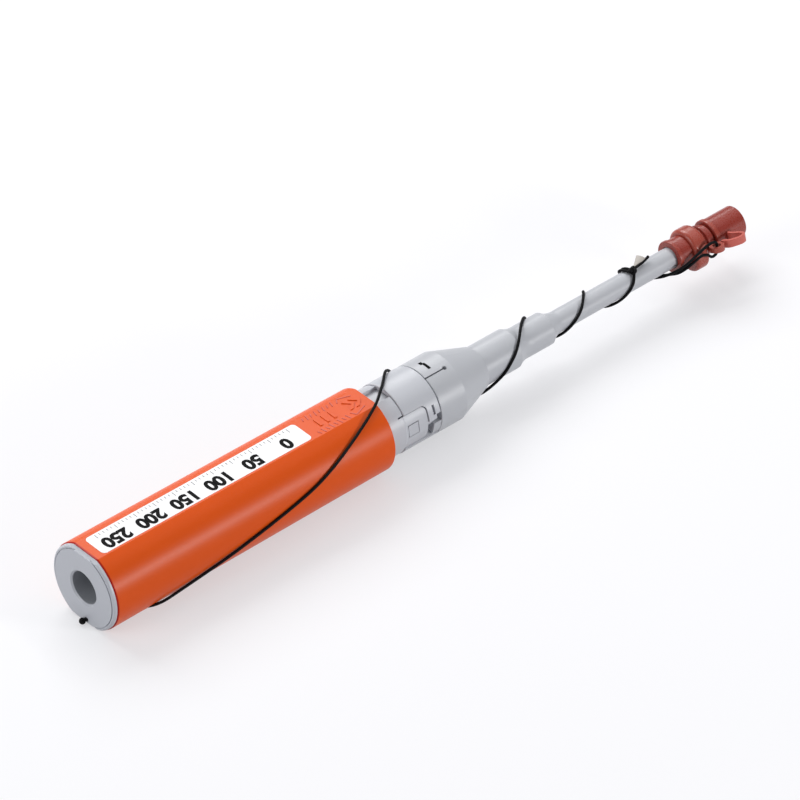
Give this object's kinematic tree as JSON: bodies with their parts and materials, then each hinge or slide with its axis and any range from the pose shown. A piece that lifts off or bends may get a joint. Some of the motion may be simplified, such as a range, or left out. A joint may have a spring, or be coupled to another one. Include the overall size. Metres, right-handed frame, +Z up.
{
  "type": "fibre connector cleaning pen",
  "caption": "Push-to-click cleaning pen for fibre connectors: orange flat-sided casing, grey turning nose, slim nozzle, guide cap with tethered dust lid, and a wound lanyard.",
  "frame": {"origin": "centre of the pen's length and width, on the plane of the flat under the casing", "axes": "+X along the pen from the rear cap to the dust lid, +Z up, square to the flat under the casing"},
  "size_m": [0.1895, 0.021, 0.0191],
  "materials": {
    "casing_orange": "moulded satin",
    "label_white": "printed film",
    "light_grey": "moulded satin",
    "cap_brown": "soft moulded",
    "reel_black": "moulded",
    "thread_white": "fine thread",
    "cord_black": "braided",
    "steel": "drawn wire"
  },
  "bodies": {
    "casing": {"casing": "casing_orange", "label": "label_white", "rear_cap": "light_grey", "stop_knot": "cord_black", "reel_frame": "light_grey", "reel_axles": "steel", "ratchet_pawl": "reel_black"},
    "nose_assembly": {"inner_sleeve": "light_grey", "cam_pin": "steel", "collar_ring": "light_grey", "nose": "light_grey", "rack_bar": "light_grey", "return_spring": "steel", "lanyard_cord": "cord_black", "lanyard_loop": "cord_black", "lanyard_knot": "cord_black"},
    "latch_button": {"latch_button": "light_grey"},
    "guide_cap": {"guide_cap": "cap_brown"},
    "dust_lid": {"dust_lid": "cap_brown", "lid_strap": "cap_brown"},
    "cleaning_shaft": {"cleaning_shaft": "reel_black", "cam_barrel": "reel_black", "cleaning_tip": "reel_black"},
    "drive_gear": {"drive_gear": "reel_black"},
    "take_up_reel": {"take_up_reel": "reel_black", "take_up_thread": "thread_white"},
    "supply_reel": {"supply_reel": "reel_black", "supply_thread": "thread_white"}
  },
  "joints": [
    {"name": "push", "type": "slide", "parent": "casing", "child": "nose_assembly", "axis": [-1, 0, 0], "range_m": [0, 0.006], "stiffness_N_per_m": 500, "springref_m": -0.004, "deforming": ["return_spring", "lanyard_cord"]},
    {"name": "latch_press", "type": "slide", "parent": "nose_assembly", "child": "latch_button", "axis": [0, 0.9925, -0.1219], "range_m": [0, 0.0008], "stiffness_N_per_m": 800},
    {"name": "cap_pull", "type": "slide", "parent": "nose_assembly", "child": "guide_cap", "axis": [1, 0, 0], "range_m": [0, 0.012], "deforming": ["lanyard_loop"]},
    {"name": "lid_pull", "type": "slide", "parent": "guide_cap", "child": "dust_lid", "axis": [1, 0, 0], "range_m": [0, 0.008], "deforming": ["lid_strap"]},
    {"name": "shaft_turn", "type": "hinge", "parent": "casing", "child": "cleaning_shaft", "pos_m": [0, 0, 0.0092], "axis": [1, 0, 0], "range_deg": [0, 181]},
    {"name": "gear_turn", "type": "hinge", "parent": "casing", "child": "drive_gear", "pos_m": [-0.048, 0, 0.0092], "axis": [0, 1, 0], "range_deg": [0, 115]},
    {"name": "take_up_turn", "type": "hinge", "parent": "casing", "child": "take_up_reel", "pos_m": [-0.048, 0, 0.0092], "axis": [0, 1, 0], "range_deg": [0, 115]},
    {"name": "supply_turn", "type": "hinge", "parent": "casing", "child": "supply_reel", "pos_m": [-0.065, 0, 0.0092], "axis": [0, 1, 0], "range_deg": [0, 90]}
  ],
  "couplings": [
    {"joint": "shaft_turn", "follows": "push", "rad_per_m": 523.6},
    {"joint": "gear_turn", "follows": "push", "rad_per_m": 333.33},
    {"joint": "take_up_turn", "follows": "push", "rad_per_m": 333.33},
    {"joint": "supply_turn", "follows": "push", "rad_per_m": 259.26}
  ]
}
